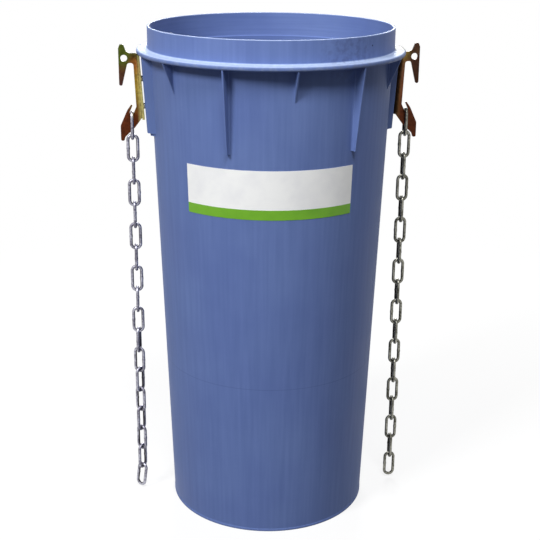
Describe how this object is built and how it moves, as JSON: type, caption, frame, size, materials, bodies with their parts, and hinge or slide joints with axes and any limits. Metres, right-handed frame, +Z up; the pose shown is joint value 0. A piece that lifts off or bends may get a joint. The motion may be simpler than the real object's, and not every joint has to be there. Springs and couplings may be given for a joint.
{
  "type": "rubble chute element",
  "caption": "Tapered plastic rubble chute element with a flanged collar, two bolted steel hooks and two hanging chains that carry the next element.",
  "frame": {"origin": "middle of the bottom rim, on the floor", "axes": "+Z up along the tube, +X towards the right-hand hook, -Y towards the label"},
  "size_m": [0.652, 0.5764, 1.1],
  "materials": {
    "moulded_polyethylene": "rotationally moulded polyethylene, satin, scuffed on the rims",
    "label_film": "smooth white vinyl film with a green band",
    "chromated_steel": "zinc plated and yellow chromated plate, satin, iridescent",
    "galvanised_steel": "zinc coated round wire, dull grey",
    "plated_fasteners": "bright zinc plated"
  },
  "bodies": {
    "chute": {"chute_tube": "moulded_polyethylene", "label": "label_film", "hook_right": "chromated_steel", "hook_left": "chromated_steel", "hook_screws_right": "plated_fasteners", "tab_spacers_right": "plated_fasteners", "nut_washers_right": "plated_fasteners", "hook_nuts_right": "plated_fasteners", "hook_screws_left": "plated_fasteners", "tab_spacers_left": "plated_fasteners", "nut_washers_left": "plated_fasteners", "hook_nuts_left": "plated_fasteners"},
    "right_link_01": {"chain_right_link_01": "galvanised_steel"},
    "right_link_02": {"chain_right_link_02": "galvanised_steel"},
    "right_link_03": {"chain_right_link_03": "galvanised_steel"},
    "right_link_04": {"chain_right_link_04": "galvanised_steel"},
    "right_link_05": {"chain_right_link_05": "galvanised_steel"},
    "right_link_06": {"chain_right_link_06": "galvanised_steel"},
    "right_link_07": {"chain_right_link_07": "galvanised_steel"},
    "right_link_08": {"chain_right_link_08": "galvanised_steel"},
    "right_link_09": {"chain_right_link_09": "galvanised_steel"},
    "right_link_10": {"chain_right_link_10": "galvanised_steel"},
    "right_link_11": {"chain_right_link_11": "galvanised_steel"},
    "right_link_12": {"chain_right_link_12": "galvanised_steel"},
    "right_link_13": {"chain_right_link_13": "galvanised_steel"},
    "right_link_14": {"chain_right_link_14": "galvanised_steel"},
    "right_link_15": {"chain_right_link_15": "galvanised_steel"},
    "right_link_16": {"chain_right_link_16": "galvanised_steel"},
    "right_link_17": {"chain_right_link_17": "galvanised_steel"},
    "right_link_18": {"chain_right_link_18": "galvanised_steel"},
    "left_link_01": {"chain_left_link_01": "galvanised_steel"},
    "left_link_02": {"chain_left_link_02": "galvanised_steel"},
    "left_link_03": {"chain_left_link_03": "galvanised_steel"},
    "left_link_04": {"chain_left_link_04": "galvanised_steel"},
    "left_link_05": {"chain_left_link_05": "galvanised_steel"},
    "left_link_06": {"chain_left_link_06": "galvanised_steel"},
    "left_link_07": {"chain_left_link_07": "galvanised_steel"},
    "left_link_08": {"chain_left_link_08": "galvanised_steel"},
    "left_link_09": {"chain_left_link_09": "galvanised_steel"},
    "left_link_10": {"chain_left_link_10": "galvanised_steel"},
    "left_link_11": {"chain_left_link_11": "galvanised_steel"},
    "left_link_12": {"chain_left_link_12": "galvanised_steel"},
    "left_link_13": {"chain_left_link_13": "galvanised_steel"},
    "left_link_14": {"chain_left_link_14": "galvanised_steel"},
    "left_link_15": {"chain_left_link_15": "galvanised_steel"},
    "left_link_16": {"chain_left_link_16": "galvanised_steel"},
    "left_link_17": {"chain_left_link_17": "galvanised_steel"},
    "left_link_18": {"chain_left_link_18": "galvanised_steel"}
  },
  "joints": [
    {"name": "right_link_01_swing", "type": "hinge", "parent": "chute", "child": "right_link_01", "pos_m": [0.301, 0, 0.9048], "axis": [1, 0, 0], "range_deg": [-6, 6]},
    {"name": "right_link_02_swing", "type": "hinge", "parent": "right_link_01", "child": "right_link_02", "pos_m": [0.301, 0, 0.8582], "axis": [0, -1, 0], "range_deg": [-3.5, 16]},
    {"name": "right_link_03_swing", "type": "hinge", "parent": "right_link_02", "child": "right_link_03", "pos_m": [0.301, 0, 0.8082], "axis": [-1, 0, 0], "range_deg": [-130, 130]},
    {"name": "right_link_04_swing", "type": "hinge", "parent": "right_link_03", "child": "right_link_04", "pos_m": [0.301, 0, 0.7582], "axis": [0, 1, 0], "range_deg": [-130, 4]},
    {"name": "right_link_05_swing", "type": "hinge", "parent": "right_link_04", "child": "right_link_05", "pos_m": [0.301, 0, 0.7082], "axis": [1, 0, 0], "range_deg": [-130, 130]},
    {"name": "right_link_06_swing", "type": "hinge", "parent": "right_link_05", "child": "right_link_06", "pos_m": [0.301, 0, 0.6582], "axis": [0, -1, 0], "range_deg": [-4.5, 130]},
    {"name": "right_link_07_swing", "type": "hinge", "parent": "right_link_06", "child": "right_link_07", "pos_m": [0.301, 0, 0.6082], "axis": [-1, 0, 0], "range_deg": [-130, 130]},
    {"name": "right_link_08_swing", "type": "hinge", "parent": "right_link_07", "child": "right_link_08", "pos_m": [0.301, 0, 0.5582], "axis": [0, 1, 0], "range_deg": [-130, 6]},
    {"name": "right_link_09_swing", "type": "hinge", "parent": "right_link_08", "child": "right_link_09", "pos_m": [0.301, 0, 0.5082], "axis": [1, 0, 0], "range_deg": [-130, 130]},
    {"name": "right_link_10_swing", "type": "hinge", "parent": "right_link_09", "child": "right_link_10", "pos_m": [0.301, 0, 0.4582], "axis": [0, -1, 0], "range_deg": [-7, 130]},
    {"name": "right_link_11_swing", "type": "hinge", "parent": "right_link_10", "child": "right_link_11", "pos_m": [0.301, 0, 0.4082], "axis": [-1, 0, 0], "range_deg": [-130, 130]},
    {"name": "right_link_12_swing", "type": "hinge", "parent": "right_link_11", "child": "right_link_12", "pos_m": [0.301, 0, 0.3582], "axis": [0, 1, 0], "range_deg": [-130, 9.5]},
    {"name": "right_link_13_swing", "type": "hinge", "parent": "right_link_12", "child": "right_link_13", "pos_m": [0.301, 0, 0.3082], "axis": [1, 0, 0], "range_deg": [-130, 130]},
    {"name": "right_link_14_swing", "type": "hinge", "parent": "right_link_13", "child": "right_link_14", "pos_m": [0.301, 0, 0.2582], "axis": [0, -1, 0], "range_deg": [-14, 130]},
    {"name": "right_link_15_swing", "type": "hinge", "parent": "right_link_14", "child": "right_link_15", "pos_m": [0.301, 0, 0.2082], "axis": [-1, 0, 0], "range_deg": [-130, 130]},
    {"name": "right_link_16_swing", "type": "hinge", "parent": "right_link_15", "child": "right_link_16", "pos_m": [0.301, 0, 0.1582], "axis": [0, 1, 0], "range_deg": [-130, 25]},
    {"name": "right_link_17_swing", "type": "hinge", "parent": "right_link_16", "child": "right_link_17", "pos_m": [0.301, 0, 0.1082], "axis": [1, 0, 0], "range_deg": [-130, 130]},
    {"name": "right_link_18_swing", "type": "hinge", "parent": "right_link_17", "child": "right_link_18", "pos_m": [0.301, 0, 0.0582], "axis": [0, -1, 0], "range_deg": [-130, 130]},
    {"name": "left_link_01_swing", "type": "hinge", "parent": "chute", "child": "left_link_01", "pos_m": [-0.301, 0, 0.9048], "axis": [-1, 0, 0], "range_deg": [-6, 6]},
    {"name": "left_link_02_swing", "type": "hinge", "parent": "left_link_01", "child": "left_link_02", "pos_m": [-0.301, 0, 0.8582], "axis": [0, 1, 0], "range_deg": [-4, 16]},
    {"name": "left_link_03_swing", "type": "hinge", "parent": "left_link_02", "child": "left_link_03", "pos_m": [-0.301, 0, 0.8082], "axis": [1, 0, 0], "range_deg": [-130, 130]},
    {"name": "left_link_04_swing", "type": "hinge", "parent": "left_link_03", "child": "left_link_04", "pos_m": [-0.301, 0, 0.7582], "axis": [0, -1, 0], "range_deg": [-130, 4.5]},
    {"name": "left_link_05_swing", "type": "hinge", "parent": "left_link_04", "child": "left_link_05", "pos_m": [-0.301, 0, 0.7082], "axis": [-1, 0, 0], "range_deg": [-130, 130]},
    {"name": "left_link_06_swing", "type": "hinge", "parent": "left_link_05", "child": "left_link_06", "pos_m": [-0.301, 0, 0.6582], "axis": [0, 1, 0], "range_deg": [-5, 130]},
    {"name": "left_link_07_swing", "type": "hinge", "parent": "left_link_06", "child": "left_link_07", "pos_m": [-0.301, 0, 0.6082], "axis": [1, 0, 0], "range_deg": [-130, 130]},
    {"name": "left_link_08_swing", "type": "hinge", "parent": "left_link_07", "child": "left_link_08", "pos_m": [-0.301, 0, 0.5582], "axis": [0, -1, 0], "range_deg": [-130, 6.5]},
    {"name": "left_link_09_swing", "type": "hinge", "parent": "left_link_08", "child": "left_link_09", "pos_m": [-0.301, 0, 0.5082], "axis": [-1, 0, 0], "range_deg": [-130, 130]},
    {"name": "left_link_10_swing", "type": "hinge", "parent": "left_link_09", "child": "left_link_10", "pos_m": [-0.301, 0, 0.4582], "axis": [0, 1, 0], "range_deg": [-8, 130]},
    {"name": "left_link_11_swing", "type": "hinge", "parent": "left_link_10", "child": "left_link_11", "pos_m": [-0.301, 0, 0.4082], "axis": [1, 0, 0], "range_deg": [-130, 130]},
    {"name": "left_link_12_swing", "type": "hinge", "parent": "left_link_11", "child": "left_link_12", "pos_m": [-0.301, 0, 0.3582], "axis": [-0.2334, -0.9724, 0], "range_deg": [-130, 11.5]},
    {"name": "left_link_13_swing", "type": "hinge", "parent": "left_link_12", "child": "left_link_13", "pos_m": [-0.301, 0, 0.3082], "axis": [-0.891, 0.454, 0], "range_deg": [-130, 130]},
    {"name": "left_link_14_swing", "type": "hinge", "parent": "left_link_13", "child": "left_link_14", "pos_m": [-0.301, 0, 0.2582], "axis": [0.6428, 0.766, 0], "range_deg": [-24.5, 130]},
    {"name": "left_link_15_swing", "type": "hinge", "parent": "left_link_14", "child": "left_link_15", "pos_m": [-0.301, 0, 0.2082], "axis": [0.766, -0.6428, 0], "range_deg": [-130, 47]},
    {"name": "left_link_16_swing", "type": "hinge", "parent": "left_link_15", "child": "left_link_16", "pos_m": [-0.301, 0, 0.1582], "axis": [-0.6428, -0.766, 0], "range_deg": [-130, 44.5]},
    {"name": "left_link_17_swing", "type": "hinge", "parent": "left_link_16", "child": "left_link_17", "pos_m": [-0.301, 0, 0.1082], "axis": [-0.766, 0.6428, 0], "range_deg": [-130, 130]},
    {"name": "left_link_18_swing", "type": "hinge", "parent": "left_link_17", "child": "left_link_18", "pos_m": [-0.301, 0, 0.0582], "axis": [0.6428, 0.766, 0], "range_deg": [-130, 130]}
  ]
}
